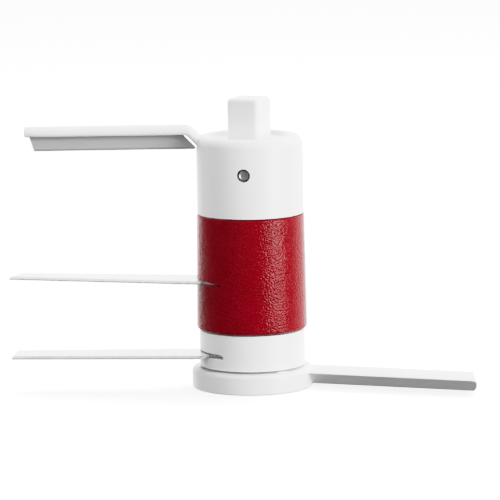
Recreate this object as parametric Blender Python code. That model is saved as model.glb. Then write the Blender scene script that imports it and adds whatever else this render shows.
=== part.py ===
"""A swivel-arm cutting spindle for a hand-driven kitchen tool.

A square-headed plastic spindle stands on a round foot. Three segments turn about it: the base ring
with its long lever, the white collar with the lower blade, and the red sleeve with the middle blade.
The white cap is pinned to the spindle and carries the top arm with its upright steel blade.

Metres, +Z up. The origin is the centre of the foot's flat underside, on the spindle's axis.
The blades point to -X, the lever to +X, and the cross pin shows on the -Y side.
"""

import math

import bmesh
import bpy
from mathutils import Matrix, Vector

MM = 0.001
GAP = 0.3 * MM  # clearance between neighbouring pieces

# Outside of the stack, from the foot up.
RING_R = 18.45 * MM
RING_TOP = 6.2 * MM
PAD_RISE = 0.25 * MM
COLLAR_R = 16.0 * MM
COLLAR_LOW = RING_TOP + PAD_RISE + GAP
COLLAR_TOP = 17.7 * MM
BODY_R = 16.15 * MM
SLEEVE_LOW = COLLAR_TOP + GAP
SLEEVE_TOP = 53.1 * MM
SLEEVE_LOW_R = 16.85 * MM  # the sleeve widens a little towards its foot
SLEEVE_TOP_R = 16.35 * MM
CAP_LOW = SLEEVE_TOP + GAP
CAP_TOP = 77.3 * MM
CAP_FILLET = 2.7 * MM
DISH_R = 12.0 * MM
DISH_DEPTH = 1.3 * MM

# Spindle and square drive head.
SHAFT_R = 5.0 * MM
BORE_R = SHAFT_R + GAP
SHAFT_LOW = 5.1 * MM
FLANGE_R = 8.5 * MM
FLANGE_LOW = 69.1 * MM
FLANGE_TOP = 70.2 * MM
HEAD_SIDE = 10.45 * MM
HEAD_LOW = CAP_TOP + GAP  # where the drive flats start
HEAD_NECK_SET = 0.15 * MM  # the neck under the flats is this much smaller all round
HEAD_TOP = 88.6 * MM
HEAD_EDGE_R = 1.4 * MM
HEAD_TOP_R = 1.2 * MM
HEAD_TURN = math.radians(-24.0)
HEAD_HOLE_R = 0.9 * MM
HEAD_HOLE_DEPTH = 2.5 * MM

# Cavities of the cap, narrow above and wide below.
CAP_BORE_R = 11.0 * MM
CAP_WIDE_BORE_R = 13.6 * MM
CAP_STEP_Z = 62.0 * MM
CAP_CAVITY_TOP = FLANGE_TOP + GAP

# Cross pin that holds the cap on the spindle.
PIN_Z = 66.75 * MM
PIN_R = 1.45 * MM
PIN_HOLE_R = 2.0 * MM
PIN_TURN = math.radians(-7.0)
PIN_RECESS = 0.5 * MM

# Top arm: a domed spine that bends down into the cap's shoulder.
ARM_WIDTH = 6.8 * MM
ARM_HEIGHT = 2.9 * MM
ARM_LIP = 0.5 * MM
ARM_LOW = 77.7 * MM
ARM_TIP_X = -67.6 * MM
ARM_BEND_X = -19.8 * MM
ARM_BEND = math.radians(46.0)
ARM_BEND_STEPS = 4
ARM_BEND_STEP = 0.35 * MM  # distance between the bend's stations
ARM_TIP_NOSE = 0.65 * MM
ARM_NECK = 8.6 * MM
GROOVE_TOP = 79.8 * MM
ARM_LOCK_ALONG = 6.9 * MM
ARM_LOCK_R = 0.8 * MM
ARM_LOCK_REACH = 2.3 * MM

# Top blade, upright under the arm.
TOP_BLADE_T = 0.8 * MM
TOP_BLADE_LOW = 73.1 * MM
TOP_BLADE_TOP = GROOVE_TOP - GAP
TOP_BLADE_LEFT = (-66.9 * MM, -65.4 * MM)  # at the spine, and at the cutting edge
TOP_BLADE_BEVEL = (0.6 * MM, 0.35 * MM)  # height and depth of the ground edge
BLADE_PIN_X = (-58.0 * MM, -31.0 * MM)
BLADE_PIN_Z = 78.6 * MM
BLADE_PIN_R = 0.35 * MM
BLADE_PIN_HOLE_R = 0.62 * MM

# Flat blades. Each outline runs tip, near edge, relief, tang, root, far edge, seen from above.
BLADE_T = 0.8 * MM
BLADE_LAND = 0.3 * MM
BLADE_BEVEL_W = 1.5 * MM
MIDDLE_BLADE_Z = 32.8 * MM  # underside
LOWER_BLADE_Z = 10.58 * MM
MIDDLE_BLADE_OUTLINE = (
    (-74.4 * MM, 5.6 * MM),
    (-15.9 * MM, -9.5 * MM),
    (-14.6 * MM, -7.9 * MM),
    (-9.6 * MM, -11.0 * MM),
    (-4.2 * MM, -10.2 * MM),
    (-5.5 * MM, 3.5 * MM),
    (-70.5 * MM, 13.7 * MM),
)
LOWER_BLADE_OUTLINE = (
    (-73.2 * MM, -9.1 * MM),
    (-15.8 * MM, -13.25 * MM),
    (-14.7 * MM, -11.5 * MM),
    (-13.4 * MM, -9.4 * MM),
    (-7.3 * MM, -11.0 * MM),
    (-7.3 * MM, 0.5 * MM),
    (-71.7 * MM, 2.45 * MM),
)
# The slots they pass through, near edge, root and far edge.
MIDDLE_SLOT_OUTLINE = (
    (-20.0 * MM, -10.0 * MM),
    (-9.4 * MM, -13.9 * MM),
    (-5.0 * MM, -8.0 * MM),
    (-5.0 * MM, 3.8 * MM),
    (-20.0 * MM, 6.2 * MM),
)
LOWER_SLOT_OUTLINE = (
    (-20.0 * MM, -13.3 * MM),
    (-9.4 * MM, -13.5 * MM),
    (-7.0 * MM, -12.4 * MM),
    (-7.0 * MM, 0.8 * MM),
    (-20.0 * MM, 1.25 * MM),
)
EYE_R = 9.2 * MM
EYE_HOLE_R = 5.6 * MM

# Clamp screws of the two flat blades.
SCREW_R = 1.0 * MM
SCREW_HOLE_R = SCREW_R + GAP
SCREW_HEAD_R = 1.9 * MM
SCREW_HEAD_H = 1.2 * MM
MIDDLE_SCREWS = ((-10.3 * MM, -2.4 * MM), (-6.9 * MM, -8.1 * MM))
LOWER_SCREWS = ((-10.4 * MM, -3.3 * MM), (-9.1 * MM, -8.2 * MM))
LOWER_SCREW_END = 13.0 * MM

# Hub halves inside the red sleeve, spools that clamp the middle blade.
HUB_R = 13.3 * MM
HUB_WAIST_R = 8.0 * MM
HUB_END_FLANGE = 2.0 * MM
HUB_CLAMP_FLANGE = 3.0 * MM
SLEEVE_BORE_R = HUB_R + GAP
HUB_LOW = SLEEVE_LOW + GAP
HUB_TOP = SLEEVE_TOP - GAP

# Inside of the collar.
COLLAR_COUNTERBORE_R = 8.3 * MM
COLLAR_COUNTERBORE_TOP = 9.3 * MM
COLLAR_HUB_R = 8.0 * MM
COLLAR_HUB_TOP = 16.9 * MM
COLLAR_RIM_R = 13.8 * MM
COLLAR_FLOOR = 14.3 * MM

# Base ring and lever.
RING_BORE_R = 11.5 * MM
RING_WEB_LOW = 5.1 * MM
RING_HUB_R = 8.0 * MM
RING_HUB_TOP = 8.2 * MM
RING_FILLET = 1.2 * MM
PAD_TURNS = (-56.0, 64.0, 184.0)  # degrees, one bearing pad at each
PAD_WIDTH = 3.2 * MM
PAD_INNER_R = 13.6 * MM
PAD_OUTER_R = 16.5 * MM
LEVER_TURN = math.radians(-19.0)
LEVER_OFFSET = 5.0 * MM  # centre line behind the spindle's axis
LEVER_HALF_W = 7.2 * MM
LEVER_ROOT = 12.6 * MM
LEVER_END_X = 67.4 * MM
LEVER_LOW = 0.7 * MM
LEVER_EDGE_Z = 4.9 * MM
LEVER_CROWN = 0.7 * MM
LEVER_KEEL_W = 1.6 * MM
LEVER_CORNER_R = (1.3 * MM, 2.6 * MM)  # near, far
LEVER_TRIM = 0.06 * MM  # taken off each long edge
LEVER_NOSE = 1.3 * MM  # the end is rounded over this length

# Foot, its screw and its plug.
FOOT_R = RING_BORE_R - GAP
FOOT_TOP = SHAFT_LOW - GAP
FOOT_RECESS_R = 6.0 * MM
FOOT_RECESS_TOP = 3.3 * MM
FOOT_SCREW_R = 1.5 * MM
FOOT_SCREW_HOLE_R = FOOT_SCREW_R + GAP
FOOT_SCREW_HEAD_R = 3.0 * MM
FOOT_SCREW_HEAD = (1.5 * MM, 3.0 * MM)
FOOT_SCREW_END = 15.0 * MM
PLUG_R = FOOT_RECESS_R - GAP
PLUG_TOP = 1.2 * MM

# Stack spring in the cap, with a washer at each end.
SPRING_R = 7.0 * MM
SPRING_WIRE_R = 0.5 * MM
SPRING_TURNS = 4.5
SPRING_SEAT_R = 9.0 * MM
SPRING_SEAT_T = 0.8 * MM
SPRING_SEAT_TOP = PIN_Z - PIN_R - GAP
SPRING_PLATE = (54.6 * MM, 55.4 * MM)
WASHER_R = 7.8 * MM
TOP_WASHER = (HUB_TOP + GAP, SPRING_PLATE[0] - GAP)
MIDDLE_WASHER = (COLLAR_HUB_TOP + GAP, HUB_LOW - GAP)
LOWER_WASHER = (RING_HUB_TOP + GAP, COLLAR_COUNTERBORE_TOP - GAP)

# Facets of round pieces.
FINE = 56
MEDIUM = 32
SMALL = 16


def clear_scene():
    for obj in list(bpy.data.objects):
        bpy.data.objects.remove(obj, do_unlink=True)


def material(name, colour, roughness, metallic=0.0):
    mat = bpy.data.materials.new(name)
    mat.use_nodes = True
    shader = mat.node_tree.nodes["Principled BSDF"]
    shader.inputs["Base Color"].default_value = (*colour, 1.0)
    shader.inputs["Roughness"].default_value = roughness
    shader.inputs["Metallic"].default_value = metallic
    return mat


def empty(name, height):
    """A pivot on the spindle's axis that its segment's pieces hang from."""
    obj = bpy.data.objects.new(name, None)
    obj.location = (0.0, 0.0, height)
    bpy.context.collection.objects.link(obj)
    return obj


def place(name, bm, mat=None, pivot=None):
    """Turns a bmesh into an object, in world coordinates, under its pivot."""
    bmesh.ops.recalc_face_normals(bm, faces=bm.faces)
    mesh = bpy.data.meshes.new(name)
    bm.to_mesh(mesh)
    bm.free()
    mesh.shade_smooth()
    mesh.set_sharp_from_angle(angle=math.radians(35.0))
    if mat:
        mesh.materials.append(mat)
    obj = bpy.data.objects.new(name, mesh)
    bpy.context.collection.objects.link(obj)
    if pivot:
        obj.parent = pivot
        obj.matrix_parent_inverse = Matrix.Translation(-pivot.location)
    return obj


def combine(target, tool, operation="DIFFERENCE"):
    """Adds a Boolean modifier, and marks its tool object as a guide."""
    tool.hide_render = True
    tool.display_type = "WIRE"
    modifier = target.modifiers.new(tool.name, "BOOLEAN")
    modifier.operation = operation
    modifier.solver = "EXACT"
    modifier.object = tool


def turned(profile, segments):
    """A profile of (radius, height) points spun about Z.

    A profile that starts and ends on the axis is left open there, any other is closed.
    """
    bm = bmesh.new()
    verts = [bm.verts.new((r, 0.0, z)) for r, z in profile]
    on_axis = profile[0][0] == 0.0 and profile[-1][0] == 0.0
    following = verts[1:] if on_axis else verts[1:] + verts[:1]
    edges = [bm.edges.new(pair) for pair in zip(verts, following)]
    bmesh.ops.spin(
        bm,
        geom=verts + edges,
        cent=(0.0, 0.0, 0.0),
        axis=(0.0, 0.0, 1.0),
        angle=math.tau,
        steps=segments,
        use_merge=True,
    )
    bmesh.ops.remove_doubles(bm, verts=bm.verts, dist=0.001 * MM)
    return bm


def washer_profile(inner, outer, low, high):
    return [(inner, low), (outer, low), (outer, high), (inner, high)]


def arc(centre, radius, start, end, steps):
    """Points along a circle, from the start angle to the end angle in degrees."""
    angles = [math.radians(start + (end - start) * i / steps) for i in range(steps + 1)]
    return [(centre[0] + radius * math.cos(a), centre[1] + radius * math.sin(a)) for a in angles]


def prism(outline, low, high):
    """A flat outline in XY, extruded upwards."""
    bm = bmesh.new()
    face = bm.faces.new([bm.verts.new((x, y, low)) for x, y in outline])
    grown = bmesh.ops.extrude_face_region(bm, geom=[face])["geom"]
    raised = [item for item in grown if isinstance(item, bmesh.types.BMVert)]
    bmesh.ops.translate(bm, verts=raised, vec=(0.0, 0.0, high - low))
    return bm


def rod(start, end, radius, segments=SMALL, chamfer=0.0):
    """A straight round bar between two points, its ends chamfered if asked."""
    start, end = Vector(start), Vector(end)
    along = end - start
    turn = along.to_track_quat("Z", "Y").to_matrix().to_4x4()
    bm = bmesh.new()
    bmesh.ops.create_cone(
        bm,
        cap_ends=True,
        segments=segments,
        radius1=radius,
        radius2=radius,
        depth=along.length,
        matrix=Matrix.Translation((start + end) / 2) @ turn,
    )
    if chamfer:
        rims = [e for f in bm.faces if len(f.verts) > 4 for e in f.edges]
        bmesh.ops.bevel(bm, geom=rims, offset=chamfer, segments=1, affect="EDGES")
    return bm


def lofted(rings):
    """A closed skin over rings of points that all have the same number of points."""
    bm = bmesh.new()
    rows = [[bm.verts.new(point) for point in ring] for ring in rings]
    count = len(rows[0])
    for row, following in zip(rows, rows[1:]):
        for i in range(count):
            j = (i + 1) % count
            bm.faces.new((row[i], row[j], following[j], following[i]))
    bm.faces.new(rows[0])
    bm.faces.new(rows[-1])
    return bm


def shifted(outline, distances):
    """Moves each edge of an outline, all of them facing away from its middle, outwards by its own distance.

    Edge i runs from corner i to the next one. A negative distance moves it inwards.
    """
    corners = [Vector(p) for p in outline]
    centre = sum(corners, Vector((0.0, 0.0))) / len(corners)
    lines = []
    for i, distance in enumerate(distances):
        a, b = corners[i], corners[(i + 1) % len(corners)]
        normal = Vector((b.y - a.y, a.x - b.x)).normalized()
        if normal.dot(a - centre) < 0.0:
            normal = -normal
        lines.append((normal, normal.dot(a) + distance))
    moved = []
    for i, (n, d) in enumerate(lines):
        m, e = lines[i - 1]
        det = m.x * n.y - m.y * n.x
        moved.append(((e * n.y - d * m.y) / det, (d * m.x - e * n.x) / det))
    return moved


def pan_screw(radius, end, head_r, head_end, head_h):
    """A screw's solid on the Z axis, head at head_end and shank towards end."""
    way = math.copysign(1.0, end - head_end)
    edge = 0.25 * head_h
    shoulder = head_end + way * head_h
    tip = 0.4 * radius
    profile = [
        (0.0, head_end),
        (head_r - edge, head_end),
        (head_r, head_end + way * edge),
        (head_r, shoulder),
        (radius, shoulder),
        (radius, end - way * tip),
        (radius - tip, end),
        (0.0, end),
    ]
    return turned(profile, SMALL)


# ---- spindle, foot and what holds the stack together ----


def square_bar(side, low, high, edge_r, top_r=0.0):
    """An upright square bar, turned to the drive head's angle, with rounded edges."""
    half = side / 2
    bm = prism([(-half, -half), (half, -half), (half, half), (-half, half)], low, high)
    upright = [e for e in bm.edges if abs(e.verts[0].co.z - e.verts[1].co.z) > half]
    bmesh.ops.bevel(bm, geom=upright, offset=edge_r, segments=4, profile=0.5, affect="EDGES")
    if top_r:
        rim = [e for e in bm.edges if min(v.co.z for v in e.verts) > high - GAP]
        bmesh.ops.bevel(bm, geom=rim, offset=top_r, segments=4, profile=0.5, affect="EDGES")
    bmesh.ops.rotate(bm, verts=bm.verts, matrix=Matrix.Rotation(HEAD_TURN, 3, "Z"))
    return bm


def cross_direction():
    """Unit vector along the cross pin, out of the front."""
    return Vector((math.sin(PIN_TURN), -math.cos(PIN_TURN), 0.0))


def cross_rod(radius, reach, **options):
    middle = Vector((0.0, 0.0, PIN_Z))
    return rod(middle + cross_direction() * reach, middle - cross_direction() * reach, radius, **options)


def drive_spindle(white, cross_hole):
    profile = [
        (0.0, FLANGE_TOP),
        (FLANGE_R, FLANGE_TOP),
        (FLANGE_R, FLANGE_LOW),
        (SHAFT_R, FLANGE_LOW),
        (SHAFT_R, SHAFT_LOW),
        (FOOT_SCREW_HOLE_R, SHAFT_LOW),
        (FOOT_SCREW_HOLE_R, FOOT_SCREW_END + GAP),
        (0.0, FOOT_SCREW_END + GAP),
    ]
    spindle = place("drive_spindle", turned(profile, MEDIUM), white)
    neck = square_bar(HEAD_SIDE - 2 * HEAD_NECK_SET, FLANGE_LOW + GAP, HEAD_LOW + MM, HEAD_EDGE_R)
    combine(spindle, place("head_neck", neck), "UNION")
    head = square_bar(HEAD_SIDE, HEAD_LOW, HEAD_TOP, HEAD_EDGE_R, HEAD_TOP_R)
    combine(spindle, place("head_block", head), "UNION")
    hole = rod(
        (0.0, 0.0, HEAD_TOP - HEAD_HOLE_DEPTH),
        (0.0, 0.0, HEAD_TOP + MM),
        HEAD_HOLE_R,
    )
    combine(spindle, place("head_hole", hole))
    combine(spindle, cross_hole)


def foot_flange(white):
    profile = [
        (FOOT_RECESS_R, 0.0),
        (FOOT_R, 0.0),
        (FOOT_R, FOOT_TOP),
        (FOOT_SCREW_HOLE_R, FOOT_TOP),
        (FOOT_SCREW_HOLE_R, FOOT_RECESS_TOP),
        (FOOT_RECESS_R, FOOT_RECESS_TOP),
    ]
    place("foot_flange", turned(profile, MEDIUM), white)


def base_plug(white):
    profile = [(0.0, PLUG_TOP), (PLUG_R, PLUG_TOP), (PLUG_R, 0.0), (0.0, 0.0)]
    place("base_plug", turned(profile, MEDIUM), white)


def retaining_screw(steel):
    low, high = FOOT_SCREW_HEAD
    screw = pan_screw(FOOT_SCREW_R, FOOT_SCREW_END, FOOT_SCREW_HEAD_R, low, high - low)
    place("retaining_screw", screw, steel)


def coil_spring(steel):
    """The stack spring: a round wire on a helix that is closer wound at both ends."""
    low = SPRING_PLATE[1] + GAP + SPRING_WIRE_R
    high = SPRING_SEAT_TOP - SPRING_SEAT_T - GAP - SPRING_WIRE_R
    steps = int(SPRING_TURNS * SMALL)
    curve = bpy.data.curves.new("stack_spring", "CURVE")
    curve.dimensions = "3D"
    curve.bevel_depth = SPRING_WIRE_R
    curve.bevel_resolution = 1
    curve.use_fill_caps = True
    wire = curve.splines.new("POLY")
    wire.points.add(steps)
    for i, point in enumerate(wire.points):
        t = i / steps
        eased = t - 0.2 * math.sin(math.tau * t) / math.tau
        angle = math.tau * SPRING_TURNS * t
        x, y = SPRING_R * math.cos(angle), SPRING_R * math.sin(angle)
        point.co = (x, y, low + (high - low) * eased, 1.0)
    curve.materials.append(steel)
    bpy.context.collection.objects.link(bpy.data.objects.new("stack_spring", curve))


def washer(name, outer, heights, mat, pivot=None):
    place(name, turned(washer_profile(BORE_R, outer, *heights), MEDIUM), mat, pivot)


# ---- cap and top arm ----


def arm_path(reach):
    """Stations along the arm's underside: (x, z, tilt), from the tip to the end of the neck."""
    stations = [(ARM_TIP_X, ARM_LOW, 0.0), (ARM_BEND_X, ARM_LOW, 0.0)]
    for i in range(1, ARM_BEND_STEPS + 1):
        x, z, _ = stations[-1]
        tilt = ARM_BEND * i / ARM_BEND_STEPS
        along, down = ARM_BEND_STEP * math.cos(tilt), ARM_BEND_STEP * math.sin(tilt)
        stations.append((x + along, z - down, tilt))
    x, z, tilt = stations[-1]
    stations.append((x + reach * math.cos(tilt), z - reach * math.sin(tilt), tilt))
    return stations


def arm_section(station, grow):
    """The domed outline at one station, grown outwards all round by grow."""
    x, z, tilt = station
    half = ARM_WIDTH / 2 + grow
    dome = arc((0.0, ARM_LIP), 1.0, 0.0, 180.0, 12)
    outline = [(half, -grow)]
    for u, v in dome:
        height = ARM_LIP + (v - ARM_LIP) * (ARM_HEIGHT - ARM_LIP + grow)
        outline.append((u * half, height))
    outline.append((-half, -grow))
    return [(x + v * math.sin(tilt), u, z + v * math.cos(tilt)) for u, v in outline]


def arm_loft(grow, reach):
    stations = arm_path(reach)
    if grow:
        stations = stations[1:]
    rings = [arm_section(station, grow) for station in stations]
    if not grow:
        middle = ARM_LOW + ARM_HEIGHT / 2
        nose = [(x - ARM_TIP_NOSE, 0.8 * y, middle + 0.8 * (z - middle)) for x, y, z in rings[0]]
        rings.insert(0, nose)
    return lofted(rings)


def arm_lock_point():
    """Where the lock pin crosses the neck, halfway through its height."""
    x, z, tilt = arm_path(ARM_LOCK_ALONG)[-1]
    half = ARM_HEIGHT / 2
    return Vector((x + half * math.sin(tilt), 0.0, z + half * math.cos(tilt)))


def lock_rod(radius, front, back, **options):
    point = arm_lock_point()
    return rod(point + Vector((0.0, front, 0.0)), point + Vector((0.0, back, 0.0)), radius, **options)


def lock_pin_back():
    """Y of the cap's rear surface behind the lock pin."""
    return math.sqrt(BODY_R**2 - arm_lock_point().x ** 2)


def blade_pin_rod(x, radius, front, back):
    return rod((x, front, BLADE_PIN_Z), (x, back, BLADE_PIN_Z), radius, segments=12)


def upper_cap(white, cross_hole):
    profile = [
        (0.0, CAP_TOP - DISH_DEPTH),
        (DISH_R - 0.6 * MM, CAP_TOP - DISH_DEPTH),
        (DISH_R, CAP_TOP),
        *arc((BODY_R - CAP_FILLET, CAP_TOP - CAP_FILLET), CAP_FILLET, 90.0, 0.0, 6),
        (BODY_R, CAP_LOW + GAP),
        (BODY_R - GAP, CAP_LOW),
        (CAP_WIDE_BORE_R, CAP_LOW),
        (CAP_WIDE_BORE_R, CAP_STEP_Z),
        (CAP_BORE_R, CAP_STEP_Z),
        (CAP_BORE_R, CAP_CAVITY_TOP),
        (0.0, CAP_CAVITY_TOP),
    ]
    cap = place("upper_cap", turned(profile, FINE), white)
    head_way = square_bar(HEAD_SIDE + 2 * GAP, CAP_CAVITY_TOP - MM, CAP_TOP + MM, HEAD_EDGE_R + GAP)
    combine(cap, place("head_way", head_way))
    combine(cap, cross_hole)
    combine(cap, place("arm_socket", arm_loft(GAP, ARM_NECK + GAP)))
    front, back = -ARM_LOCK_REACH - GAP, lock_pin_back() + MM
    combine(cap, place("lock_hole_in_cap", lock_rod(ARM_LOCK_R + GAP, front, back)))


def cap_cross_pin(steel):
    reach = BODY_R - PIN_RECESS
    place("cap_cross_pin", cross_rod(PIN_R, reach, chamfer=0.25 * MM), steel)


def top_arm(white):
    arm = place("top_arm", arm_loft(0.0, ARM_NECK), white)
    left = TOP_BLADE_LEFT[0] - GAP
    right = ARM_BEND_X - 0.6 * MM
    half = TOP_BLADE_T / 2 + GAP
    groove = [(left, -half), (right, -half), (right, half), (left, half)]
    combine(arm, place("blade_groove", prism(groove, ARM_LOW - MM, GROOVE_TOP)))
    for number, x in enumerate(BLADE_PIN_X, 1):
        hole = blade_pin_rod(x, BLADE_PIN_HOLE_R, -2.2 * MM, ARM_WIDTH)
        combine(arm, place(f"blade_pin_hole_{number}", hole))
    lock_hole = lock_rod(ARM_LOCK_R + GAP, -ARM_LOCK_REACH - GAP, ARM_WIDTH)
    combine(arm, place("lock_hole_in_arm", lock_hole))


def arm_lock_pin(steel):
    back = lock_pin_back() - 0.6 * MM
    place("arm_lock_pin", lock_rod(ARM_LOCK_R, -ARM_LOCK_REACH, back, chamfer=0.2 * MM), steel)


def top_blade(steel):
    """An upright plate, its lower edge ground on the front side only."""
    rise, depth = TOP_BLADE_BEVEL
    neck_x = ARM_BEND_X - 0.4 * MM
    corner_z = TOP_BLADE_LOW + rise + 0.1 * MM
    corner_x = neck_x + (ARM_LOW - corner_z) / math.tan(ARM_BEND)
    left_top, left_low = TOP_BLADE_LEFT
    groove_right = ARM_BEND_X - 0.6 * MM - GAP

    def outline(y, low):
        fall = (ARM_LOW - low) / (ARM_LOW - TOP_BLADE_LOW)
        left = left_top + (left_low - left_top) * fall
        points = [
            (left, low),
            (corner_x, low),
            (corner_x, corner_z),
            (neck_x, ARM_LOW - 0.05 * MM),
            (groove_right, ARM_LOW),
            (groove_right, TOP_BLADE_TOP),
            (left_top, TOP_BLADE_TOP),
            (left_top, ARM_LOW),
        ]
        return [(x, y, z) for x, z in points]

    half = TOP_BLADE_T / 2
    ground = outline(-half + depth, TOP_BLADE_LOW)
    front = outline(-half, TOP_BLADE_LOW + rise)
    back = outline(half, TOP_BLADE_LOW)
    blade = place("top_blade", lofted([front, ground, back]), steel)
    for number, x in enumerate(BLADE_PIN_X, 1):
        hole = blade_pin_rod(x, BLADE_PIN_HOLE_R, -MM, MM)
        combine(blade, place(f"pin_hole_in_blade_{number}", hole))


def top_blade_pins(steel):
    for number, x in enumerate(BLADE_PIN_X, 1):
        place(f"top_blade_pin_{number}", blade_pin_rod(x, BLADE_PIN_R, -1.9 * MM, 2.7 * MM), steel)


# ---- the two flat blades and what carries them ----


def flat_blade_body(outline, low):
    """A flat plate with the near edge, its first, ground from above."""
    count = len(outline)
    ground = shifted(outline, [-BLADE_BEVEL_W] + [0.0] * (count - 1))
    levels = ((outline, low), (outline, low + BLADE_LAND), (ground, low + BLADE_T))
    return lofted([[(x, y, z) for x, y in points] for points, z in levels])


def blade_slot(outline, low):
    """The space a flat blade needs in the piece around it."""
    return prism(outline, low - GAP, low + BLADE_T + GAP)


def upright_hole(spot, radius, low, high):
    return rod((*spot, low), (*spot, high), radius)


def middle_blade(steel, pivot):
    blade = place("middle_blade", flat_blade_body(MIDDLE_BLADE_OUTLINE, MIDDLE_BLADE_Z), steel, pivot)
    eye = [
        (0.0, MIDDLE_BLADE_Z + BLADE_T),
        (EYE_R, MIDDLE_BLADE_Z + BLADE_T),
        (EYE_R, MIDDLE_BLADE_Z),
        (0.0, MIDDLE_BLADE_Z),
    ]
    combine(blade, place("blade_eye", turned(eye, MEDIUM)), "UNION")
    low, high = MIDDLE_BLADE_Z - MM, MIDDLE_BLADE_Z + BLADE_T + MM
    hole = rod((0.0, 0.0, low), (0.0, 0.0, high), EYE_HOLE_R, MEDIUM)
    combine(blade, place("blade_eye_hole", hole))
    for number, spot in enumerate(MIDDLE_SCREWS, 1):
        hole = upright_hole(spot, SCREW_HOLE_R, low, high)
        combine(blade, place(f"middle_blade_hole_{number}", hole))


def lower_blade(steel, pivot):
    blade = place("lower_blade", flat_blade_body(LOWER_BLADE_OUTLINE, LOWER_BLADE_Z), steel, pivot)
    for number, spot in enumerate(LOWER_SCREWS, 1):
        hole = upright_hole(spot, SCREW_HOLE_R, LOWER_BLADE_Z - MM, LOWER_BLADE_Z + BLADE_T + MM)
        combine(blade, place(f"lower_blade_hole_{number}", hole))


def red_sleeve(red, pivot):
    foot_r, top_r = 1.0 * MM, 0.4 * MM
    profile = [
        (SLEEVE_BORE_R, SLEEVE_LOW),
        *arc((SLEEVE_LOW_R - foot_r, SLEEVE_LOW + foot_r), foot_r, -90.0, 0.0, 4),
        *arc((SLEEVE_TOP_R - top_r, SLEEVE_TOP - top_r), top_r, 0.0, 90.0, 2),
        (SLEEVE_BORE_R, SLEEVE_TOP),
    ]
    sleeve = place("red_sleeve", turned(profile, FINE), red, pivot)
    combine(sleeve, place("sleeve_slot", blade_slot(MIDDLE_SLOT_OUTLINE, MIDDLE_BLADE_Z)))


def spool_profile(low, high, low_flange, high_flange):
    return [
        (BORE_R, low),
        (HUB_R, low),
        (HUB_R, low + low_flange),
        (HUB_WAIST_R, low + low_flange),
        (HUB_WAIST_R, high - high_flange),
        (HUB_R, high - high_flange),
        (HUB_R, high),
        (BORE_R, high),
    ]


def sleeve_hubs(white, pivot):
    """Two spools, one under and one over the middle blade."""
    split_low = MIDDLE_BLADE_Z - GAP
    split_high = MIDDLE_BLADE_Z + BLADE_T + GAP
    lower = spool_profile(HUB_LOW, split_low, HUB_END_FLANGE, HUB_CLAMP_FLANGE)
    upper = spool_profile(split_high, HUB_TOP, HUB_CLAMP_FLANGE, HUB_END_FLANGE)
    for name, profile in (("sleeve_hub_lower", lower), ("sleeve_hub_upper", upper)):
        hub = place(name, turned(profile, MEDIUM), white, pivot)
        for number, spot in enumerate(MIDDLE_SCREWS, 1):
            low = split_low - HUB_CLAMP_FLANGE - MM
            hole = upright_hole(spot, SCREW_HOLE_R, low, split_high + HUB_CLAMP_FLANGE + MM)
            combine(hub, place(f"{name}_hole_{number}", hole))


def middle_screws(steel, pivot):
    """Screws from above through the upper spool and the blade into the lower spool."""
    head_end = MIDDLE_BLADE_Z + BLADE_T + GAP + HUB_CLAMP_FLANGE + GAP + SCREW_HEAD_H
    end = MIDDLE_BLADE_Z - GAP - HUB_CLAMP_FLANGE + GAP
    for number, spot in enumerate(MIDDLE_SCREWS, 1):
        bm = pan_screw(SCREW_R, end, SCREW_HEAD_R, head_end, SCREW_HEAD_H)
        screw = place(f"middle_blade_screw_{number}", bm, steel, pivot)
        screw.location = (*spot, 0.0)


def lower_screws(steel, pivot):
    """Screws from below through the collar's floor and the blade."""
    for number, spot in enumerate(LOWER_SCREWS, 1):
        bm = pan_screw(SCREW_R, LOWER_SCREW_END, SCREW_HEAD_R, COLLAR_LOW + GAP, SCREW_HEAD_H)
        screw = place(f"lower_blade_screw_{number}", bm, steel, pivot)
        screw.location = (*spot, 0.0)


def lower_collar(white, pivot):
    edge = 0.3 * MM
    profile = [
        (COLLAR_COUNTERBORE_R, COLLAR_LOW),
        (COLLAR_R - edge, COLLAR_LOW),
        (COLLAR_R, COLLAR_LOW + edge),
        (COLLAR_R, COLLAR_TOP - edge),
        (COLLAR_R - edge, COLLAR_TOP),
        (COLLAR_RIM_R, COLLAR_TOP),
        (COLLAR_RIM_R, COLLAR_FLOOR),
        (COLLAR_HUB_R, COLLAR_FLOOR),
        (COLLAR_HUB_R, COLLAR_HUB_TOP),
        (BORE_R, COLLAR_HUB_TOP),
        (BORE_R, COLLAR_COUNTERBORE_TOP),
        (COLLAR_COUNTERBORE_R, COLLAR_COUNTERBORE_TOP),
    ]
    collar = place("lower_collar", turned(profile, FINE), white, pivot)
    combine(collar, place("collar_slot", blade_slot(LOWER_SLOT_OUTLINE, LOWER_BLADE_Z)))
    for number, spot in enumerate(LOWER_SCREWS, 1):
        shank = upright_hole(spot, SCREW_HOLE_R, COLLAR_LOW - MM, LOWER_SCREW_END + GAP)
        combine(collar, place(f"collar_screw_hole_{number}", shank))
        head_top = COLLAR_LOW + SCREW_HEAD_H + 2 * GAP
        head = upright_hole(spot, SCREW_HEAD_R + GAP, COLLAR_LOW - MM, head_top)
        combine(collar, place(f"collar_head_hole_{number}", head))


# ---- base ring and lever ----


def lever_point(along, across, height):
    """A point by its distance along and behind the lever's centre line."""
    c, s = math.cos(LEVER_TURN), math.sin(LEVER_TURN)
    behind = LEVER_OFFSET + across
    return (along * c - behind * s, along * s + behind * c, height)


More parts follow.
